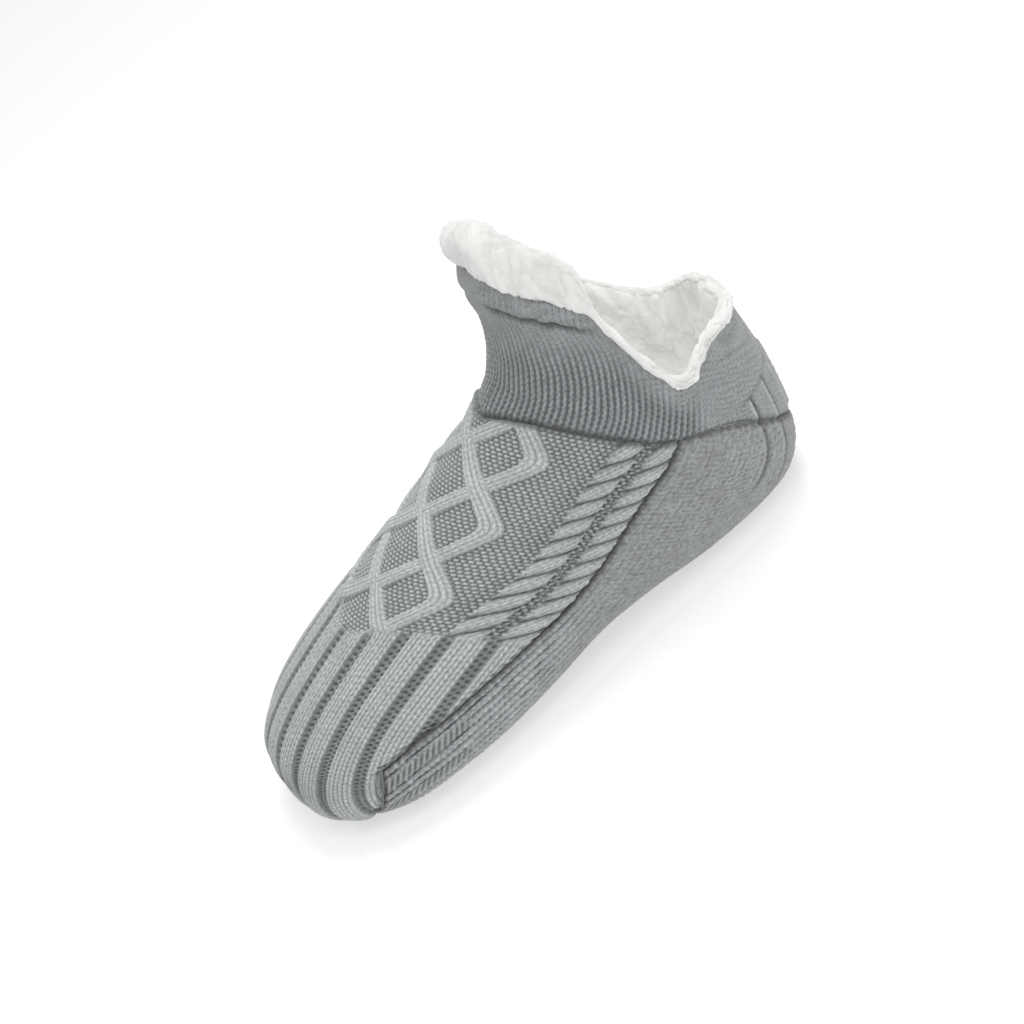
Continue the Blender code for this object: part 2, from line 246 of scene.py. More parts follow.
def half_ring(station):
    """One half ring, from the bottom to the top, as points evenly spaced along it."""
    top_x, top_z, low_x, low_z, half, widest, sole_round, top_round, _ = cubic(
        SECTIONS, np.array(float(station)))
    turn = np.linspace(0.0, math.pi, RING_STEPS + 1)
    below = turn <= math.pi / 2
    power = np.where(below, 2.0 / sole_round, 2.0 / top_round)
    across = np.sin(turn).clip(0.0) ** power
    along = np.abs(np.cos(turn)) ** power
    height = np.where(below, widest * (1.0 - along), widest + (1.0 - widest) * along)
    ring = np.stack([
        low_x + height * (top_x - low_x),
        max(half, 0.0) * across,
        np.maximum(low_z + height * (top_z - low_z), 0.0),
    ], axis=-1)
    length = np.concatenate([[0.0], np.cumsum(np.linalg.norm(np.diff(ring, axis=0), axis=1))])
    share = length / max(length[-1], 1e-9)
    places = steps(MAP_PLACES)
    return np.stack([np.interp(places, share, ring[:, k]) for k in range(3)], axis=-1)


class Skin:
    """The sock's skin as a fine map of points, normals, and distances round and along."""

    def __init__(self):
        count = int(TOP_RING * MAP_PER_SECTION) + 1
        self.last_row = count - 1.001
        points = np.array([half_ring(s) for s in np.linspace(0.0, TOP_RING, count)])
        along = np.gradient(points, axis=0)
        around = np.gradient(points, axis=1)
        # On the middle line the skin runs straight across.
        around[:, 0] = (0.0, 1.0, 0.0)
        around[:, -1] = (0.0, -1.0, 0.0)
        normal = unit(np.cross(along, around), 1e-12)
        normal[0] = (1.0, 0.0, 0.0)
        normal[:, [0, -1], 1] = 0.0
        step = np.linalg.norm(np.diff(points, axis=1), axis=-1)
        middle = np.zeros((count, 1))
        from_top = np.concatenate([np.cumsum(step[:, ::-1], axis=1)[:, ::-1], middle], axis=1)
        run = np.linalg.norm(np.diff(points, axis=0), axis=-1)
        run = np.concatenate([np.zeros((1, MAP_PLACES)), np.cumsum(run, axis=0)])
        base = run[int(BASE_RING) * MAP_PER_SECTION]
        self.map = np.concatenate([
            points, normal, from_top[..., None] / MM, ((base - run) / MM)[..., None],
            along / MM,
        ], axis=-1)

    def read(self, station, place):
        """The map's values at stations along the sock and places round its half rings."""
        row = np.clip(station * MAP_PER_SECTION, 0, self.last_row)
        column = np.clip(place * (MAP_PLACES - 1), 0, MAP_PLACES - 1.001)
        i, j = np.floor(row).astype(int), np.floor(column).astype(int)
        a, b = (row - i)[..., None], (column - j)[..., None]
        m = self.map
        return ((m[i, j] * (1 - a) + m[i + 1, j] * a) * (1 - b)
                + (m[i, j + 1] * (1 - a) + m[i + 1, j + 1] * a) * b)


SKIN = Skin()


# Charts of stitches, which take and give millimetres


def smooth(low, high, value):
    """A soft step from 0 at low to 1 at high."""
    t = np.clip((value - low) / (high - low), 0.0, 1.0)
    return t * t * (3.0 - 2.0 * t)


def hashed(i, j, seed):
    """An even random number from 0 to 1 for each whole pair."""
    value = np.sin(i * 127.1 + j * 311.7 + seed * 74.7) * 43758.5453
    return value - np.floor(value)


def soft_noise(x, y, size, seed):
    """Smooth noise from -1 to 1 with spots about size across."""
    x, y = x / size, y / size
    i, j = np.floor(x), np.floor(y)
    a, b = smooth(0, 1, x - i), smooth(0, 1, y - j)
    low = hashed(i, j, seed) * (1 - a) + hashed(i + 1, j, seed) * a
    high = hashed(i, j + 1, seed) * (1 - a) + hashed(i + 1, j + 1, seed) * a
    return 2.0 * (low * (1 - b) + high * b) - 1.0


def ripple(value, pitch):
    """A wave from 0 to 1, at its top where the value is a whole number of pitches."""
    return 0.5 + 0.5 * np.cos(2.0 * math.pi * value / pitch)


def stockinette(x, y, wale, course):
    """Columns of V stitches up y, a wale wide and a course high: height from 0 to 1."""
    u = x / wale
    side = u - np.floor(u) - 0.5
    leg = np.abs(side)
    v = y / course - leg * 1.5
    row = v - np.floor(v)
    leg_ridge = np.clip(1.0 - ((leg - 0.24) / 0.25) ** 2, 0.0, 1.0)
    yarn = np.clip(1.0 - ((row - 0.5) / 0.58) ** 2, 0.0, 1.0)
    return leg_ridge ** 0.8 * (0.25 + 0.75 * yarn)


def purl(x, y, wale, course):
    """The back of the knit: rows of short bars that interlock, from 0 to 1."""
    u = x / wale + 0.10 * np.sin(y * 0.9)
    v = 2.0 * y / course
    row = np.floor(v)
    u = u + 0.5 * np.mod(row, 2)
    side = u - np.floor(u) - 0.5
    up = v - row - 0.5 + 0.9 * side ** 2
    return np.clip(1.0 - (side / 0.46) ** 2, 0, 1) * np.clip(1.0 - (up / 0.46) ** 2, 0, 1)


# The lattice on the instep: where its bands meet on the middle line, how far they run
# between crossings, and how wide they and their stitches are.
LATTICE_START = 26.0
LATTICE_STEP = 32.5
LATTICE_REACH = 33.0
LATTICE_SPREAD = 1.06
LATTICE_CORNER = 0.012
BAND_HALF = 3.5
BAND_RISE = 1.5
BAND_COURSE = 2.8
BAND_EDGE_PITCH = 2.3
CROSSING_RISE = 0.80

# The cables and the dotted ladders beside them, from the side seam.
CABLE_PLACES = (5.6, 19.2)
CABLE_HALF = 4.8
CABLE_TURN = 9.4
CABLE_RISE = 1.6
LADDER_PLACES = (12.4, 26.2)
LADDER_DEPTHS = (1.0, 0.45)
LADDER_HALF = 1.9
LADDER_PITCH = 2.8

# The toe's ribs: their pitch, grooves and height, the three columns of stitches on each,
# and where they begin, which is further on over the middle of the foot.
RIB_PITCH = 14.3
RIB_GROOVE = 4.2
RIB_RISE = 1.1
RIB_COURSE = 2.9
RIB_WALES = 3.0
RIBS_BEGIN = 106.0
RIBS_BEGIN_MORE = 6.0
RIBS_MIDDLE = 18.0

# The stitches that pull at a seam.
SEAM_PITCH = 4.2
SEAM_BITE = 0.9

# A sheet's edge goes this far under its neighbour's.
EDGE_SINK = 0.9


def band(across, along, rise):
    """A band of two columns of stitches: its height, how much it covers, its stitches."""
    ragged = (0.07 * np.cos(2.0 * math.pi * along / BAND_EDGE_PITCH)
              + 0.05 * soft_noise(along, across, size=3.0, seed=17))
    cover = 1.0 - smooth(0.82, 1.10, np.abs(across) / BAND_HALF + ragged)
    crown = np.sqrt(np.clip(1.0 - (across / (BAND_HALF * 1.12)) ** 2, 0.0, 1.0))
    stitch = stockinette(across, along, BAND_HALF, BAND_COURSE)
    return cover * (rise * (0.22 + 0.78 * crown) + 0.60 * stitch), cover, stitch


def zigzag(c):
    """How far a bouncing band is from the middle, with its outer corner rounded."""
    beat = np.mod((c - LATTICE_START) / LATTICE_STEP, 2.0)
    turn = np.sqrt((1.0 - beat) ** 2 + LATTICE_CORNER)
    return LATTICE_REACH * (LATTICE_SPREAD - turn), np.where(beat < 1.0, 1.0, -1.0)


def lattice(w, c):
    """The bounced bands, which cross over and under in turn: height, cover and shade."""
    side = np.abs(w)
    slope = math.hypot(1.0, LATTICE_REACH / LATTICE_STEP)
    height = np.zeros_like(w)
    cover = np.zeros_like(w)
    shade = np.zeros_like(w)
    share = np.mod((c - LATTICE_START) / LATTICE_STEP, 1.0)
    crossing = peak(share - 0.5, 0.15)
    row = np.floor((c - LATTICE_START) / LATTICE_STEP)
    for number in (0, 1):
        line, outward = zigzag(c + number * LATTICE_STEP)
        across = (side - line) / slope
        over = np.where(np.mod(row + number, 2) == 0, 1.0, -1.0)
        rise = BAND_RISE + CROSSING_RISE * over * crossing
        part, covered, stitch = band(across, c * slope + across * outward, rise)
        top = part > height
        # Painted shade darkens each band between its stitches and along its outer side.
        band_light_and_shade = 0.36 + 0.62 * stitch - 0.12 * smooth(0.3, 1.0, across / BAND_HALF)
        shade = np.where(top, band_light_and_shade, shade)
        height = np.where(top, part, height)
        cover = np.maximum(cover, covered)
    past = smooth(LATTICE_REACH + 3.4, LATTICE_REACH + 5.0, side)
    return height * (1 - past), cover * (1 - past), shade


def rope(across, along):
    """A cable of plump leaves that cross every CABLE_TURN, slanting one way."""
    x = across / CABLE_HALF
    body = np.clip(1.0 - x ** 4, 0.0, 1.0) ** 0.5
    lane = along / CABLE_TURN - 0.36 * x - 0.06 * x ** 3
    leaf = lane - np.floor(lane)
    plump = np.clip(np.sin(math.pi * leaf), 0.0, 1.0) ** 0.55
    slant = stockinette(across * 0.75 - along * 0.55, along * 0.9 + across * 0.75, 3.1, 2.7)
    height = body * (CABLE_RISE * (0.10 + 0.90 * plump) + 0.45 * slant * plump)
    at_gap = leaf - np.round(leaf)
    # The knit pulls in where a leaf goes under, more on the one side than on the other.
    pit = peak(x + 0.86, 0.26) * peak(at_gap, 0.16)
    pit = pit + 0.8 * peak(x - 0.86, 0.26) * peak(at_gap, 0.16)
    gap = peak(at_gap, 0.065) * body
    # Painted shade darkens the gaps between the leaves and the pits, and painted light lightens
    # the leaves where they bulge.
    shade = 0.28 + 0.70 * slant * plump - 0.30 * gap
    return height - 0.7 * pit, shade * (1 - 0.8 * np.clip(pit, 0, 1))


def ladder(across, along, half=LADDER_HALF):
    """A sunk column of crossed bars with a hole on each side in turn: height and gaps."""
    inside = 1.0 - smooth(half * 0.75, half * 1.25, np.abs(across))
    turn = np.where(across > 0.0, 0.0, 0.5)
    dot = (0.5 + 0.5 * np.cos(2.0 * math.pi * (along / LADDER_PITCH + turn))) ** 1.4
    side = peak(np.abs(across) - 0.52 * half, 0.40 * half)
    gap = dot * side * inside
    return inside * -0.45 - 0.85 * gap, gap


def cable_chart(w, c, seam_w):
    """The cable panel: height, and a painted shade from 0 in gaps to 1 on top."""
    ground = purl(w, c, 2.7, 3.2)
    height = 0.05 + 0.75 * ground
    shade = 0.12 + 0.80 * ground
    from_seam = seam_w - np.abs(w)

    bands, cover, band_shade = lattice(w, c)
    height = np.where(cover > 0.02, np.maximum(height, bands + 0.1 * cover), height)
    shade = shade * (1 - cover) + cover * band_shade
    for place in CABLE_PLACES:
        rope_height, rope_shade = rope(from_seam - place, c)
        inside = 1.0 - smooth(0.90, 1.06, np.abs(from_seam - place) / CABLE_HALF)
        height = height * (1 - inside) + inside * (0.20 + rope_height)
        shade = shade * (1 - inside) + inside * rope_shade
    # The ladders sink, and painted shade darkens their holes.
    for place, depth in zip(LADDER_PLACES, LADDER_DEPTHS):
        sunk, gap = ladder(from_seam - place, c)
        height = height + sunk * depth
        shade = shade * (1 - 0.80 * gap * depth)
    return height, shade


def rib_chart(rib_w, c):
    """The toe's ribs, with a ladder in each groove: height and shade."""
    rib = np.mod(rib_w / RIB_PITCH + 0.5, 1.0) - 0.5
    off = np.abs(rib) * RIB_PITCH
    sunk, gap = ladder(rib * RIB_PITCH, c, RIB_GROOVE * 0.50)
    hump = np.clip(1.0 - ((off - RIB_PITCH / 2) / (RIB_PITCH / 2 - 1.3)) ** 2, 0, 1) ** 0.4
    wale = (RIB_PITCH - RIB_GROOVE) / RIB_WALES
    stitch = stockinette(off - RIB_GROOVE / 2, c, wale, RIB_COURSE)
    on_rib = smooth(RIB_GROOVE * 0.40, RIB_GROOVE * 0.60, off)
    height = 0.15 + RIB_RISE * hump + 0.50 * stitch * on_rib + sunk
    # Painted shade: dark in the grooves and the ladders' holes, lighter on the ribs' humps.
    shade = 0.36 * (1 - on_rib) + on_rib * (0.12 + 0.08 * hump + 0.74 * stitch)
    return height, shade * (1 - 0.95 * gap)


def seam_groove(distance, depth, reach):
    """How far the knit sinks towards a seam a distance away."""
    return -depth * peak(distance, reach)


def stitched(distance, along, pitch=SEAM_PITCH):
    """A distance from a seam, made uneven by the stitches that pull at it."""
    uneven = soft_noise(along, along * 0.0, size=1.7, seed=8)
    return distance - SEAM_BITE * ripple(along, pitch) - 0.25 * uneven


# Meshes

# Rows and columns of the sheets' grids, for one side of the sock.
INSTEP_ROWS = 262
INSTEP_COLUMNS = 177
TOE_TOP_COLUMNS = 150
TOE_SOLE_COLUMNS = 66
CAP_ROWS = 112
TOE_ROWS = 76
SOLE_ROWS = 352
SOLE_COLUMNS = 104
CUFF_ROWS = 92
CUFF_COLUMNS = 262
FLEECE_COLUMNS = 190
ROLL_ROWS = 34
ANKLE_ROWS = 79
INSIDE_ROWS = 44

# No stitch comes closer to the floor than this, in metres.
FLOOR_GAP = 0.0002


def knit_sheet(name, points, normals, height, shade, stitch_uv, cells=None, body="root"):
    """A grid of points raised along its normals, with its stitch places and its painted shade.
    """
    place = points + normals * (height[..., None] * MM)
    place[..., 2] = np.maximum(place[..., 2], FLOOR_GAP)
    rows, columns = height.shape
    index = np.arange(rows * columns).reshape(rows, columns)
    quads = np.stack([index[:-1, :-1], index[:-1, 1:], index[1:, 1:], index[1:, :-1]],
                     axis=-1)
    keep = np.ones((rows - 1, columns - 1), bool) if cells is None else cells
    used, quads = np.unique(quads[keep], return_inverse=True)
    mesh = bpy.data.meshes.new(name)
    flat = place.reshape(-1, 3)[used]
    mesh.from_pydata(flat.tolist(), [], quads.reshape(-1, 4).tolist())
    mesh.update()
    values = mesh.attributes.new("shade", "FLOAT", "POINT")
    values.data.foreach_set("value", shade.reshape(-1)[used].astype(np.float32))
    layer = mesh.uv_layers.new(name="stitches")
    corner = np.empty(len(mesh.loops), np.int32)
    mesh.loops.foreach_get("vertex_index", corner)
    uv = stitch_uv.reshape(-1, 2)[used][corner]
    layer.data.foreach_set("uv", uv.astype(np.float32).ravel())
    mesh.shade_smooth()
    piece = bpy.data.objects.new(name, mesh)
    bpy.context.scene.collection.objects.link(piece)
    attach(piece, body)
    return piece


def mirrored(points):
    """The points on the other side of the sock."""
    flipped = points.copy()
    flipped[..., 1] *= -1.0
    return flipped


def on_side(points, normals, sign):
    """The near side's points and normals, mirrored if the far side is asked for."""
    if sign == FAR:
        return mirrored(points), mirrored(normals)
    return points, normals


def over_the_top(far, near):
    """The far side's columns up to the middle, then the near side's down from it."""
    return np.concatenate([far[:, :0:-1], near], axis=1)


def under_the_sole(far, near):
    """The near side's columns down to the middle, then the far side's up from it."""
    return np.concatenate([far, near[:, -2::-1]], axis=1)[:, ::-1]


def both_sides(make_side, join):
    """A sheet's values, each joined from the far side's and the near side's."""
    return [join(far, near) for far, near in zip(make_side(FAR), make_side(NEAR))]


def upper_columns(top_count, sole_count):
    """One side's columns: 0 at the top's middle, 1 at the seam, 2 at the sole's middle."""
    return np.concatenate([steps(top_count + 1), 1.0 + steps(sole_count + 1)[1:]])


def place_of(column, station):
    """The place round the half ring of a column, at a station."""
    seam = seam_place(station)
    above = 1.0 - np.minimum(column, 1.0) * (1.0 - seam)
    return np.where(column <= 1.0, above, seam * (2.0 - column))


def side_maps(station, column):
    """What the charts need on one side: the skin's values, and w at the seam."""
    values = SKIN.read(station, place_of(column, station))
    seam_values = SKIN.read(station, seam_place(station))
    return values, seam_values[..., ROUND]


def distance_down(values):
    """How far each row is from the first one, along its column, in millimetres."""
    step = np.linalg.norm(np.diff(values[..., POINT], axis=0), axis=-1) / MM
    return np.concatenate([np.zeros((1, values.shape[1])), np.cumsum(step, axis=0)])


def even_rows(station, column):
    """The stations moved along their columns, so that the rows are evenly spaced."""
    values, _ = side_maps(station, column)
    run = distance_down(values)
    even = steps(len(station))
    columns = range(station.shape[1])
    return np.stack([
        np.interp(even * run[-1, k], run[:, k], station[:, k]) for k in columns], axis=1)


# Where w lies across the foot at the section where the ribs start.
RIB_SAMPLES = 400
RING_AT_RIBS = SKIN.read(np.full(RIB_SAMPLES, RIB_START), np.linspace(1.0, 0.5, RIB_SAMPLES))
RIB_Y = np.maximum.accumulate(RING_AT_RIBS[:, 1])
RIB_W = RING_AT_RIBS[:, ROUND]


def rib_distance(values, station):
    """Where a point lies across the toe's ribs: they keep their distance from the middle."""
    flat = np.interp(np.abs(values[..., 1]), RIB_Y, RIB_W)
    mix = smooth(RIB_START - 1.0, RIB_START + 0.6, station)
    return flat * (1 - mix) + values[..., ROUND] * mix


def upper_side(station, column, sign):
    """One side of the upper: the skin's values, w at the seam, height, shade, places."""
    values, seam_w = side_maps(station, column)
    w, c = values[..., ROUND], values[..., ALONG]
    begin = RIBS_BEGIN + RIBS_BEGIN_MORE * peak(w, RIBS_MIDDLE)
    fade = smooth(begin - 2.5, begin + 3.0, c)
    # The middle line is kept off the edge between two stitches.
    height, shade = cable_chart(w * sign + 1e-6 * sign, c, seam_w)
    rib_height, rib_shade = rib_chart(rib_distance(values, station), c)
    height = height * (1 - fade) + rib_height * fade
    shade = shade * (1 - fade) + rib_shade * fade
    return values, seam_w, height, shade, np.stack([w * sign, c], axis=-1)


def make_instep():
    """The cable panel, from under the cuff to the first of the toe's ribs."""
    columns = steps(INSTEP_COLUMNS)
    base_seam = seam_place(BASE_RING)
    base = collar_value(1.0 - columns * (1.0 - base_seam), "base") + CUFF_TUCK
    station = base[None, :] + (RIB_START - base[None, :]) * steps(INSTEP_ROWS)[:, None]
    column = np.repeat(columns[None, :], INSTEP_ROWS, axis=0)
    station = even_rows(station, column)

    def side(sign):
        values, seam_w, height, shade, uv = upper_side(station, column, sign)
        to_seam = stitched(seam_w - values[..., ROUND], values[..., ALONG])
        to_seam = np.maximum(to_seam, 0.0)
        height = height + seam_groove(to_seam, 1.6, 1.3)
        from_cuff = distance_down(values) - 1.2
        under = 1.0 - smooth(-0.6, 1.2, from_cuff)
        height = height * (1.0 - under) - 1.5 * under
        # Painted shade darkens the knit towards the side seam and where it goes under the cuff.
        shade = shade * (0.35 + 0.65 * smooth(0.2, 1.8, to_seam))
        shade = shade * (0.42 + 0.58 * smooth(0.0, 2.6, from_cuff))
        height[:, -1] -= EDGE_SINK
        return (*on_side(values[..., POINT], values[..., NORMAL], sign), height, shade, uv)

    return knit_sheet("cable_instep", *both_sides(side, over_the_top))


# Near the toe a section is this long, and the top is this wide from its middle to the seam.
TOE_SECTION = 9.5
TOE_TOP_HALF = 58.0

# A distance for places that no seam is near to.
NO_SEAM = 99.0

# The cap's rows lie a little wider apart towards the toe's tip.
CAP_CROWDING = 0.85


def make_toe():
    """The toe's cap, and its ribs back to the instep, open underneath for the sole panel."""
    columns = upper_columns(TOE_TOP_COLUMNS, TOE_SOLE_COLUMNS)
    front = sole_front(columns)[None, :]
    cap = front * (steps(CAP_ROWS)[:, None] ** CAP_CROWDING)
    more = front + (RIB_START + TOE_LAP - front) * steps(TOE_ROWS + 1)[1:, None]
    station = np.vstack([cap, more])
    column = np.repeat(columns[None, :], len(station), axis=0)
    cells = np.ones((len(station) - 1, 2 * (len(columns) - 1)), bool)
    cells[CAP_ROWS - 1:, :TOE_SOLE_COLUMNS] = False
    cells[CAP_ROWS - 1:, -TOE_SOLE_COLUMNS:] = False

    def side(sign):
        values, seam_w, height, shade, uv = upper_side(station, column, sign)
        w, c = values[..., ROUND], values[..., ALONG]
        on_top = (column <= 1.0) & (station > front - 1e-6)
        to_seam = np.where(on_top, seam_w - w, NO_SEAM)
        to_sole = np.where(column >= 1.0, (front - station) * TOE_SECTION, NO_SEAM)
        to_corner = np.hypot((1.0 - column) * TOE_TOP_HALF,
                             (SOLE_CORNER - station) * TOE_SECTION)
        to_corner = np.where(column < 1.0, to_corner, NO_SEAM)
        edge = np.minimum(np.minimum(to_seam, to_sole), to_corner)
        edge = np.maximum(stitched(edge, c + w), 0.0)
        height = height + seam_groove(edge, 1.7, 1.4)
        # Painted shade darkens the knit towards its seams.
        shade = shade * (0.30 + 0.70 * smooth(0.2, 2.0, edge))
        return (*on_side(values[..., POINT], values[..., NORMAL], sign), height, shade, uv)

    return knit_sheet("ribbed_toe", *both_sides(side, over_the_top), cells=cells)


# The sole's ladders near the toe and the grooves of the heel's ribs, in distances from the
# side seam and from the heel's middle.
SOLE_LADDERS = (6.5, 17.0, 29.0)
SOLE_WALE = 3.0
SOLE_COURSE = 2.6
HEEL_GROOVES = (11.0, 23.0, 36.0, 50.0)


def make_sole():
    """The plain sole panel and the heel's pocket, up to the seams."""
    columns = np.linspace(1.0, 2.0, SOLE_COLUMNS)
    front = sole_front(columns)
    base = collar_value(seam_place(BASE_RING) * (2.0 - columns), "base")
    station = front[None, :] + (base - front)[None, :] * steps(SOLE_ROWS)[:, None]
    column = np.repeat(columns[None, :], SOLE_ROWS, axis=0)
    station = even_rows(station, column)
    values, seam_w = side_maps(station, column)
    w = values[..., ROUND]
    from_seam = w - seam_w
    to_front = distance_down(values)
    to_heel = to_front[-1][None, :] - to_front

    # Rows of stitches are clear near the toe and felted towards the heel.
    wobble = 0.5 * soft_noise(to_front, from_seam, size=9.0, seed=12)
    fine = stockinette(from_seam + wobble, to_front, SOLE_WALE, SOLE_COURSE)
    row = ripple(from_seam + wobble, SOLE_WALE)
    felt = 0.5 + 0.5 * soft_noise(from_seam, to_front * 0.8, size=0.8, seed=3)
    clear = 1.0 - smooth(70.0, 130.0, to_front + 0.9 * from_seam) * 0.80
    grain = purl(from_seam, to_front, 1.7, 2.2)
    height = clear * (0.60 * fine - 0.60 * row) + (1 - clear) * 0.50 * grain + 0.20 * felt
    # Painted shade darkens the gaps between the stitches; the sole is also darker towards its
    # front.
    shade = 0.36 + clear * (0.80 * fine - 0.50 * row) + (1 - clear) * 0.30 * grain
    shade = shade + 0.30 * (felt - 0.5) - 0.10 * (1.0 - smooth(20.0, 90.0, to_front))

    near_toe = 1.0 - smooth(34.0, 50.0, to_front)
    # Painted shade darkens the ladders' holes.
    for place in SOLE_LADDERS:
        off = from_seam - place
        bar = 0.5 + 0.5 * np.cos(2.0 * math.pi * to_front / LADDER_PITCH + 0.6 * off)
        part = np.exp(-(off / 2.0) ** 4) * near_toe
        height = height * (1 - part) + part * (0.75 * bar - 0.55)
        shade = shade * (1 - part) + part * (0.08 + 0.66 * bar)

    heel = 1.0 - smooth(22.0, 32.0, to_heel)
    from_middle = SKIN.read(station, np.zeros_like(station))[..., ROUND] - w
    # Painted shade darkens the heel's grooves, and painted light lightens its ridges.
    for place in HEEL_GROOVES:
        off = from_middle - place
        groove = peak(off, 1.2) * heel
        ridge = peak(off - 2.6, 1.5) * heel
        height = height - 1.0 * groove + 0.4 * ridge
        shade = shade * (1 - 0.72 * groove) + 0.10 * ridge

    # The knit sinks towards its seams, and painted shade darkens it there.
    edge = np.minimum(stitched(from_seam, to_front), stitched(to_heel, w))
    edge = np.minimum(edge, stitched(to_front, w))
    height = height + seam_groove(np.maximum(edge, 0.0), 1.4, 1.3)
    shade = shade * (0.36 + 0.64 * smooth(0.2, 1.9, edge))
    # Where the sole stands on the floor its stitches are pressed flat.
    pressed = values[..., 2] < 0.0004
    height = np.where(pressed, np.minimum(height, 0.2), height)
    height[:, 0] -= EDGE_SINK

    def side(sign):
        uv = np.stack([(from_seam + 90.0) * sign, to_front], axis=-1)
        return (*on_side(values[..., POINT], values[..., NORMAL], sign), height, shade, uv)

    return knit_sheet("plain_sole", *both_sides(side, under_the_sole))


# The cuff's ribs, the length of half its top edge, and how far its doubled hem reaches
# down from that edge.
CUFF_RIB = 2.5
CUFF_EDGE_HALF = 150.0
HEM_REACH = 11.5

# The knit's edge as it turns in over the fleece: how far out and how far up.
CUFF_FOLD = ((0.00, 1.15), (-0.20, 0.55), (-0.90, -0.05), (-1.95, -0.45), (-2.95, 0.10))

# The top of the heel's ribs, above the heel's seam at its middle, and how much lower it is
# for each millimetre round from there.
HEEL_RIBS_TOP = 42.0
HEEL_RIBS_SLANT = 0.62


def with_last(values, more):
    """The values with their last row again, so many times more."""
    return np.concatenate([values, np.repeat(values[-1:], more, axis=0)])


def make_cuff():
    """The ribbed cuff and the heel's back, its edge turned in over the fleece."""
    places = np.linspace(1.0, 0.0, CUFF_COLUMNS)
    place = np.repeat(places[None, :], CUFF_ROWS, axis=0)

    def side(sign):
        along_edge = places * CUFF_EDGE_HALF * sign
        ragged = 0.055 * soft_noise(along_edge, places * 0.0, size=2.0, seed=5)
        ragged = ragged + 0.05 * soft_noise(along_edge, places * 0.0, size=8.0, seed=6)
        edge = collar_edge(places, sign) + ragged * smooth(0.30, 0.55, places)
        base = collar_value(places, "base")
        station = base + (edge - base)[None, :] * steps(CUFF_ROWS)[:, None]
        values = SKIN.read(station, place)
        w, c = values[..., ROUND], distance_down(values)
        from_back = SKIN.read(station, np.zeros_like(place))[..., ROUND] - w
        from_edge = c[-1][None, :] - c

        # Ribs stand proud at the front and lie nearly flat at the back.
        bent = w + 0.45 * soft_noise(c, w, size=10.0, seed=14)
        wave = ripple(bent, CUFF_RIB)
        turn = math.pi * np.floor(bent / CUFF_RIB)
        bead = 0.70 + 0.30 * np.cos(2.0 * math.pi * c / 2.3 + turn)
        front = smooth(0.44, 0.52, place)
        low_part = 1.0 - smooth(0.45, 0.85, steps(CUFF_ROWS)[:, None])
        clear = (0.22 + 0.78 * low_part) * front
        plain = stockinette(bent, c, 2.3, 2.2)
        height = clear * wave * bead + (1 - clear) * 0.45 * plain
        # Painted shade darkens the gaps between the ribs and between the stitches.
        shade = clear * (0.06 + 0.84 * wave * bead) + (1 - clear) * (0.24 + 0.52 * plain)

        # The hem is doubled, so its lower edge stands out over a crease, and painted shade
        # darkens the crease.
        fold_line = HEM_REACH + 1.2 * soft_noise(w * sign, w * 0.0, size=22.0, seed=31)
        fold_line = fold_line - 0.035 * w
        hem = smooth(fold_line + 1.5, fold_line - 3.5, from_edge) * smooth(0.58, 0.72, place)
        crease = peak(from_edge - fold_line, 1.7) * smooth(0.62, 0.74, place)
        crease = crease * smooth(4.0, 14.0, w)
        height = height + 0.9 * hem - 1.8 * crease
        shade = shade * (1 - 0.78 * crease)

        # The heel's ribs run on from the sole up to a slanting brim. Painted shade darkens
        # their grooves and the knit along the brim, and painted light lightens their ridges.
        ribs_top = HEEL_RIBS_TOP - HEEL_RIBS_SLANT * from_back
        ribbed = (1 - smooth(ribs_top - 0.4, ribs_top + 0.8, c)) * (ribs_top > 4.0)
        for distance in HEEL_GROOVES:
            off = from_back - distance
            groove = peak(off, 1.2) * ribbed
            ridge = peak(off - 2.4, 1.2) * ribbed
            height = height - 1.0 * groove + 0.9 * ridge
            shade = shade * (1 - 0.85 * groove) + 0.30 * ridge
        brim = peak(c - ribs_top - 0.6, 0.8) * (from_back < 58.0)
        shade = shade * (1 - 0.35 * brim)

        # Painted shade darkens the knit towards the cuff's base.
        to_base = np.maximum(stitched(c, w, CUFF_RIB), 0.0)
        height = height + seam_groove(to_base, 1.4, 1.2)
        shade = shade * (0.34 + 0.66 * smooth(0.2, 2.2, to_base))
        height[0] -= EDGE_SINK
        # Gathers where the cuff bends at the front.
        height = height + 0.5 * soft_noise(w * sign, c * 1.8, size=13.0, seed=9) * front

        points, normals = values[..., POINT], values[..., NORMAL]
        rim = points[-1] + normals[-1] * height[-1][:, None] * MM
        way = unit(values[-1][..., WAY])
        fold = [rim + normals[-1] * out * MM + way * up * MM for out, up in CUFF_FOLD]
        turns = len(CUFF_FOLD)
        points = np.concatenate([points, fold])
        normals = with_last(normals, turns)
        height = np.concatenate([height, np.zeros((turns, CUFF_COLUMNS))])
        # The turned-in edge gets more painted shade.
        shade = np.concatenate([shade, np.repeat(shade[-1:] * 0.85, turns, axis=0)])
        uv = np.stack([with_last(w, turns) * sign, with_last(c, turns)], axis=-1)
        return (*on_side(points, normals, sign), height, shade, uv)

    return knit_sheet("ribbed_cuff", *both_sides(side, over_the_top))


# The roll's outline, out from the knit and up from its edge, in shares of its radius.
ROLL_OUTLINE = np.array((
    (-0.40, -0.30), (0.10, 0.00), (0.55, 0.22), (0.80, 0.52), (0.92, 0.90), (0.86, 1.25),
    (0.62, 1.58), (0.30, 1.80), (-0.05, 1.90), (-0.45, 1.84), (-0.80, 1.62), (-1.05, 1.25),
))
ROLL_ROW_STEP = 0.75

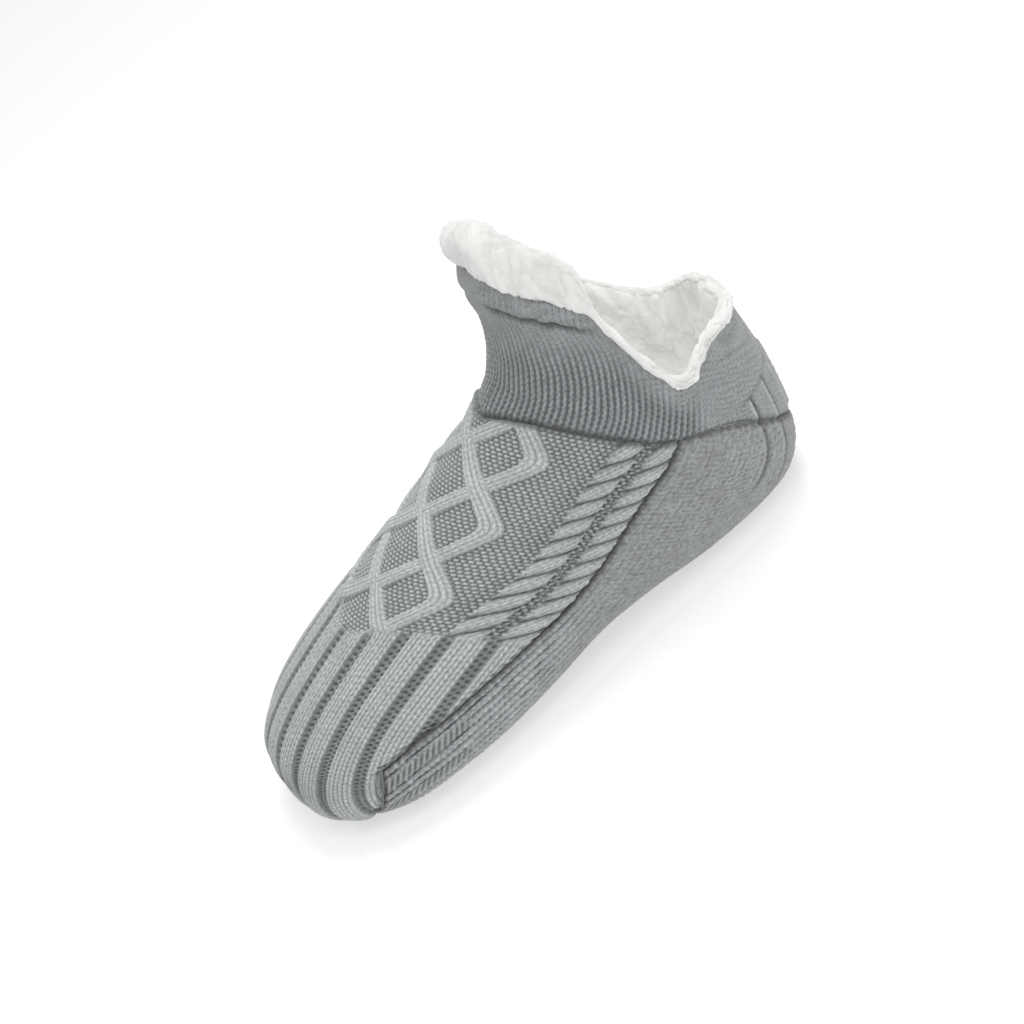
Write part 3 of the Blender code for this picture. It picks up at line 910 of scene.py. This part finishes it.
# How much taller than round the roll's pile stands, from the notch to the front. It stands
# tallest on the near side.
ROLL_PLACES = (0.00, 0.52, 0.60, 0.64, 0.67, 0.72, 0.80, 0.88, 0.95, 1.00)
NEAR_RISE = (1.00, 1.00, 1.20, 1.70, 2.15, 2.30, 2.30, 2.15, 1.85, 1.60)
FAR_RISE = (1.00, 1.00, 1.25, 1.40, 1.50, 1.60, 1.50, 1.45, 1.50, 1.60)

# How deep under the skin the fleece's inner face lies, in metres, and the sections from
# which it runs on over the foot, at the front and at the back.
INSIDE_DEPTH = 0.0068
INSIDE_FRONT = 12.6
INSIDE_BACK = 12.0

# For the lumps, the inside of the ankle counts as this long, and a section of the foot as
# this, in millimetres.
ANKLE_RUN = 60.0
INSIDE_SECTION = 8.0
FLEECE_SEED = 20


def clumps(u, v):
    """Fleece lumps in millimetres: tufts of two sizes with dents between them."""
    bend_u = u + 1.6 * soft_noise(u, v, 6.0, FLEECE_SEED + 1)
    bend_v = v + 1.6 * soft_noise(u, v, 6.0, FLEECE_SEED + 2)
    big = soft_noise(bend_u, bend_v, 7.0, FLEECE_SEED + 3)
    small = np.abs(soft_noise(bend_u, bend_v, 3.2, FLEECE_SEED + 4))
    tiny = soft_noise(u, v, 1.1, FLEECE_SEED + 5)
    return 1.1 * big - 0.9 * (1 - small) ** 3 + 0.28 * tiny


def roll_slope(t):
    """The way the roll's outline runs at a place on it."""
    ahead = cubic(ROLL_OUTLINE, np.array(min(t + 0.05, len(ROLL_OUTLINE) - 1.0)))
    behind = cubic(ROLL_OUTLINE, np.array(max(t - 0.05, 0.0)))
    slope = ahead - behind
    return slope / np.linalg.norm(slope)


def make_fleece():
    """The fleece: it rolls out over the knit's edge and lines the inside down to the toe."""
    places = np.linspace(1.0, 0.0, FLEECE_COLUMNS)

    def side(sign):
        edge = collar_edge(places, sign)
        at = SKIN.read(edge, places)
        point, normal, way = at[:, POINT], at[:, NORMAL], unit(at[:, WAY])
        # At the front the roll stands partly upright, not in line with the ankle.
        upright = np.array([0.0, 0.0, 1.0]) * smooth(0.60, 0.90, places)[:, None]
        way = unit(way * 0.70 + upright * 0.30 + way * 0.30 * (1.0 - upright[:, 2:3]))
        radius = collar_value(places, "roll")[:, None]
        taller = NEAR_RISE if sign == NEAR else FAR_RISE
        rise = np.interp(places, ROLL_PLACES, taller)[:, None]
        edge_step = np.linalg.norm(np.diff(point, axis=0), axis=-1) / MM
        along_edge = np.concatenate([[0.0], np.cumsum(edge_step)])

        rows, ways, down = [], [], []
        for t in np.linspace(0.0, len(ROLL_OUTLINE) - 1.0, ROLL_ROWS):
            out, up = cubic(ROLL_OUTLINE, np.array(t))
            slope = roll_slope(t)
            rows.append(point + normal * radius * out + way * radius * rise * up)
            ways.append(normal * slope[1] - way * slope[0])
            down.append(ROLL_ROW_STEP * len(rows))
        roll_end = rows[-1]
        roll_run = down[-1]

        start = edge - 0.05
        low = np.where(places > 0.5, INSIDE_FRONT, INSIDE_BACK)
        for share in steps(ANKLE_ROWS + 1)[:-1]:
            at = SKIN.read(start + (low - start) * share, places)
            inside = smooth(0.0, 0.10, share)
            target = at[:, POINT] - at[:, NORMAL] * INSIDE_DEPTH
            rows.append(roll_end * (1 - inside) + target * inside)
            ways.append(-at[:, NORMAL])
            down.append(roll_run + share * ANKLE_RUN)
        # From the heel to the first section, and on close to the toe's tip.
        for station in [*np.linspace(11.9, 1.0, INSIDE_ROWS), 0.6]:
            at = SKIN.read(np.minimum(low, station), places)
            rows.append(at[:, POINT] - at[:, NORMAL] * INSIDE_DEPTH)
            ways.append(-at[:, NORMAL])
            down.append(roll_run + ANKLE_RUN + (INSIDE_BACK - station) * INSIDE_SECTION)

        u = np.repeat(along_edge[None, :], len(rows), axis=0) * sign
        v = np.repeat(np.array(down)[:, None], FLEECE_COLUMNS, axis=1)
        height = clumps(u, v) + 0.4
        height[0] = -1.0
        height[ROLL_ROWS + ANKLE_ROWS:] *= 0.5
        # Painted shade darkens the dents between the tufts.
        shade = smooth(-1.6, 1.2, height)
        points, normals = on_side(np.array(rows), unit(np.array(ways)), sign)
        return points, normals, height, shade, np.stack([u, v], axis=-1)

    points, normals, height, shade, uv = both_sides(side, over_the_top)
    # The two sides meet at one height at the heel.
    height[:, 0] = height[:, -1] = 0.5 * (height[:, 0] + height[:, -1])
    return knit_sheet("fleece", points, normals, height, shade, uv)


# Materials

# The painted shade in the gaps between stitches, and the yarns' colours on top of them.
CABLE_GAP_SHADE = (0.072, 0.077, 0.080)
CABLE_TOP = (0.635, 0.658, 0.662)
PLAIN_GAP_SHADE = (0.070, 0.075, 0.080)
RIB_TOP = (0.52, 0.540, 0.549)
SOLE_TOP = (0.54, 0.556, 0.566)

# The fleece's painted shade in its dents and its colour on its tufts, and the strength of its
# painted glow, an emission that stands in for the light the pile passes on from tuft to tuft.
FLEECE_DENT_SHADE = (0.50, 0.50, 0.485)
FLEECE_TUFT = (0.63, 0.63, 0.615)
FLEECE_PAINTED_GLOW = 0.42

# How much the marled yarn's flecks and larger patches change its colour.
FLECK = 0.17
PATCH = 0.05


def set_values(made, values):
    """Set a node's inputs by their names."""
    for key, value in values.items():
        made.inputs[key].default_value = value


def node(tree, kind, values=None, **settings):
    """A new node with its settings and the values of its inputs."""
    made = tree.nodes.new(kind)
    for key, value in settings.items():
        setattr(made, key, value)
    set_values(made, values or {})
    return made


def new_material(name, values):
    """A material, its tree, and its shader with the values set."""
    material = bpy.data.materials.new(name)
    material.use_nodes = True
    tree = material.node_tree
    shader = tree.nodes["Principled BSDF"]
    set_values(shader, values)
    return material, tree, shader


def shaded_colour(tree, painted_shade_colour, top_colour):
    """The colour between the painted shade's colour and the top colour, by the chart's painted
    shade at each point.
    """
    shade = node(tree, "ShaderNodeAttribute", attribute_name="shade")
    mix = node(tree, "ShaderNodeMix", {"A": (*painted_shade_colour, 1.0), "B": (*top_colour, 1.0)},
               data_type="RGBA")
    tree.links.new(shade.outputs["Fac"], mix.inputs["Factor"])
    return mix.outputs["Result"]


def spots(tree, places, scale, detail, contrast, change):
    """Noise as a factor round 1, which changes a colour this much either way."""
    link = tree.links.new
    noise = node(tree, "ShaderNodeTexNoise", {"Scale": scale, "Detail": detail})
    link(places.outputs["Object"], noise.inputs["Vector"])
    spread = node(tree, "ShaderNodeMapRange", {
        "From Min": 0.5 - contrast, "From Max": 0.5 + contrast,
        "To Min": 1.0 - change, "To Max": 1.0 + change})
    link(noise.outputs["Fac"], spread.inputs["Value"])
    return spread.outputs["Result"]


def knit_look(name, gap_shade_colour, top_colour):
    """Marled wool yarn, fuzzy at the edges: painted shade darkens it in the gaps, so it is
    lightest where it stands proud.
    """
    material, tree, shader = new_material(name, {
        "Roughness": 0.95, "Specular IOR Level": 0.15,
        "Sheen Weight": 0.25, "Sheen Roughness": 0.6})
    link = tree.links.new
    colour = shaded_colour(tree, gap_shade_colour, top_colour)
    places = node(tree, "ShaderNodeTexCoord")
    both = node(tree, "ShaderNodeMath", operation="MULTIPLY")
    link(spots(tree, places, 900.0, 3.0, 0.20, FLECK), both.inputs[0])
    link(spots(tree, places, 110.0, 2.0, 0.15, PATCH), both.inputs[1])
    tint = node(tree, "ShaderNodeVectorMath", operation="SCALE")
    link(colour, tint.inputs["Vector"])
    link(both.outputs["Value"], tint.inputs["Scale"])
    link(tint.outputs["Vector"], shader.inputs["Base Color"])

    # The yarn's plies run across the stitches, and fuzz lies over them.
    stitches = node(tree, "ShaderNodeUVMap", uv_map="stitches")
    plies = node(tree, "ShaderNodeTexWave", {
        "Scale": 0.55, "Distortion": 3.5, "Detail": 3.0, "Detail Scale": 1.6},
        wave_type="BANDS", bands_direction="DIAGONAL")
    link(stitches.outputs["UV"], plies.inputs["Vector"])
    fuzz = node(tree, "ShaderNodeTexNoise", {"Scale": 1900.0, "Detail": 4.0})
    link(places.outputs["Object"], fuzz.inputs["Vector"])
    total = node(tree, "ShaderNodeMath", {1: 0.45}, operation="MULTIPLY_ADD")
    link(plies.outputs["Fac"], total.inputs[0])
    link(fuzz.outputs["Fac"], total.inputs[2])
    bump = node(tree, "ShaderNodeBump", {"Strength": 0.55, "Distance": 0.0003})
    link(total.outputs["Value"], bump.inputs["Height"])
    link(bump.outputs["Normal"], shader.inputs["Normal"])
    return material


def fleece_look(name):
    """Off-white fleece: soft and bright, with painted shade of grey in its dents and a painted
    glow in its own colour.
    """
    material, tree, shader = new_material(name, {
        "Roughness": 1.0, "Specular IOR Level": 0.1,
        "Sheen Weight": 0.5, "Sheen Roughness": 0.7,
        "Subsurface Weight": 0.25, "Subsurface Radius": (0.004, 0.0038, 0.0035),
        "Emission Strength": FLEECE_PAINTED_GLOW})
    link = tree.links.new
    colour = shaded_colour(tree, FLEECE_DENT_SHADE, FLEECE_TUFT)
    link(colour, shader.inputs["Base Color"])
    # The fleece glows with painted light in its own colour.
    link(colour, shader.inputs["Emission Color"])
    places = node(tree, "ShaderNodeTexCoord")
    curls = node(tree, "ShaderNodeTexNoise", {
        "Scale": 620.0, "Detail": 5.0, "Distortion": 1.2})
    link(places.outputs["Object"], curls.inputs["Vector"])
    bump = node(tree, "ShaderNodeBump", {"Strength": 0.7, "Distance": 0.0009})
    link(curls.outputs["Fac"], bump.inputs["Height"])
    link(bump.outputs["Normal"], shader.inputs["Normal"])
    return material


# Camera, floor and light

# The camera's angles in degrees: round from the near side towards the toe, above the floor,
# and its roll. Its distance is in metres, and its shift in the photo's pixels.
CAMERA_AROUND = 10.0
CAMERA_ABOVE = 33.0
CAMERA_ROLL = 31.85
CAMERA_DISTANCE = 0.930
CAMERA_LENS = 85.0
CAMERA_SENSOR = 36.0
CAMERA_SHIFT = (-19.5, 4.0)
PHOTO_SIZE = 1024.0
TARGET = Vector((0.0, 0.0, 0.06))

FLOOR_REACH = 9.0
FLOOR_COLOUR = (0.60, 0.60, 0.60, 1.0)
FLOOR_GLOW = 0.52
WORLD_LIGHT = 0.50
WHITE = (1.0, 1.0, 1.0, 1.0)


def make_camera():
    """The photo's camera. Gives the ways right, up and back from it."""
    data = bpy.data.cameras.new("camera")
    data.lens = CAMERA_LENS
    data.sensor_width = CAMERA_SENSOR
    camera = bpy.data.objects.new("camera", data)
    bpy.context.scene.collection.objects.link(camera)
    bpy.context.scene.camera = camera
    a, e, roll = (math.radians(v) for v in (CAMERA_AROUND, CAMERA_ABOVE, CAMERA_ROLL))
    back = Vector((math.sin(a) * math.cos(e), math.cos(a) * math.cos(e), math.sin(e)))
    level = Vector((-math.cos(a), math.sin(a), 0.0))
    upward = back.cross(level)
    right = level * math.cos(roll) - upward * math.sin(roll)
    up = level * math.sin(roll) + upward * math.cos(roll)
    turn = Matrix((right, up, back)).transposed().to_4x4()
    camera.matrix_world = Matrix.Translation(TARGET + back * CAMERA_DISTANCE) @ turn
    data.shift_x = -CAMERA_SHIFT[0] / PHOTO_SIZE
    data.shift_y = CAMERA_SHIFT[1] / PHOTO_SIZE
    return right, up, back


def area_light(name, place, size, power):
    """A round light that points at the sock."""
    data = bpy.data.lights.new(name, "AREA")
    data.shape = "DISK"
    data.size = size
    data.energy = power
    light = bpy.data.objects.new(name, data)
    light.location = place
    light.rotation_mode = "QUATERNION"
    light.rotation_quaternion = (Vector(place) - TARGET).to_track_quat("Z", "Y")
    bpy.context.scene.collection.objects.link(light)


def make_stage(right, up, back):
    """A pale floor that runs out of the picture, a white world, and two soft lights."""
    mesh = bpy.data.meshes.new("floor")
    corners = [(x * FLOOR_REACH, y * FLOOR_REACH, 0.0)
               for x, y in ((-1, -1), (1, -1), (1, 1), (-1, 1))]
    mesh.from_pydata(corners, [], [(0, 1, 2, 3)])
    floor = bpy.data.objects.new("floor", mesh)
    bpy.context.scene.collection.objects.link(floor)
    material, _, _ = new_material("floor", {
        "Base Color": FLOOR_COLOUR, "Emission Color": WHITE, "Emission Strength": FLOOR_GLOW,
        "Roughness": 1.0, "Specular IOR Level": 0.0})
    mesh.materials.append(material)
    world = bpy.data.worlds.new("studio")
    world.use_nodes = True
    set_values(world.node_tree.nodes["Background"], {"Color": WHITE, "Strength": WORLD_LIGHT})
    bpy.context.scene.world = world
    bpy.context.scene.view_settings.view_transform = "Standard"
    above = TARGET + up * 1.0 + back * 0.35 + right * -0.25
    area_light("key", above, 0.6, 5.2)
    area_light("fill", TARGET + back * 1.2 + right * -0.2 + up * 0.5, 0.8, 5.0)


def main():
    """Make the stage, the sheets and their looks, and hide the solids that the sheets stand in
    for.
    """
    right, up, back = make_camera()
    make_stage(right, up, back)
    light_knit = knit_look("cable knit wool", CABLE_GAP_SHADE, CABLE_TOP)
    mid_knit = knit_look("rib knit wool", PLAIN_GAP_SHADE, RIB_TOP)
    sole_knit = knit_look("sole knit wool", PLAIN_GAP_SHADE, SOLE_TOP)
    instep = make_instep()
    toe = make_toe()
    sole = make_sole()
    cuff = make_cuff()
    fleece = make_fleece()
    for piece, material, slot in (
            (instep, light_knit, "cable_knit"), (toe, light_knit, "cable_knit"),
            (sole, sole_knit, "sole_knit"), (cuff, mid_knit, "rib_knit"),
            (fleece, fleece_look("fleece pile"), "fleece")):
        piece.data.materials.append(material)
    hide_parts("cable_upper")
    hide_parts("cable_upper")
    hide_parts("knit_sole")
    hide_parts("ankle_cuff")
    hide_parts("fleece_lining")


main()
